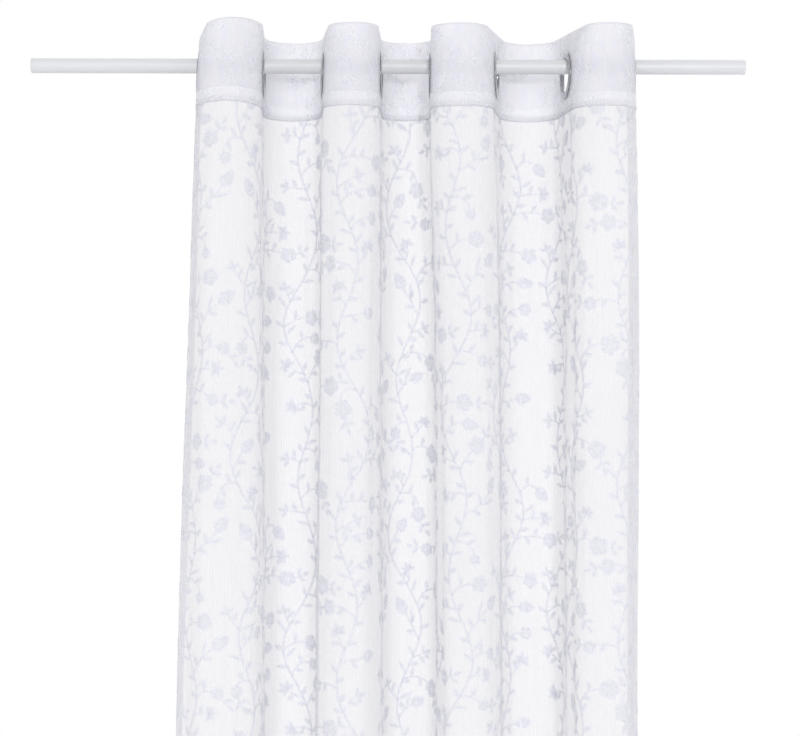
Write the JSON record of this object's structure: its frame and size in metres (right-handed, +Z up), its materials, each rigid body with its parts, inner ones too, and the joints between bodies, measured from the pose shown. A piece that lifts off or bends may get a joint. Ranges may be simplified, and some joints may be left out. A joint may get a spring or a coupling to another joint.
{
  "type": "net curtain on a rod",
  "caption": "Sheer net curtain with a flowering-vine pattern, hung in soft uneven folds by metal eyelets on a plain painted rod.",
  "frame": {"origin": "middle of the rod's axis", "axes": "+X along the rod, +Z up, and the curtain is seen from -Y"},
  "size_m": [0.863, 0.1576, 2.4541],
  "materials": {
    "voile": "sheer white voile with a denser woven vine pattern",
    "heading_cloth": "the same voile doubled over a stiff white band",
    "eyelet_metal": "grey plated metal, polished",
    "rod_paint": "pale grey-white satin paint"
  },
  "bodies": {
    "root": {"eyelet_1": "eyelet_metal", "eyelet_2": "eyelet_metal", "eyelet_3": "eyelet_metal", "eyelet_4": "eyelet_metal", "eyelet_5": "eyelet_metal", "eyelet_6": "eyelet_metal", "eyelet_7": "eyelet_metal", "eyelet_8": "eyelet_metal", "heading": "heading_cloth", "panel": "voile", "rod": "rod_paint"}
  },
  "joints": []
}
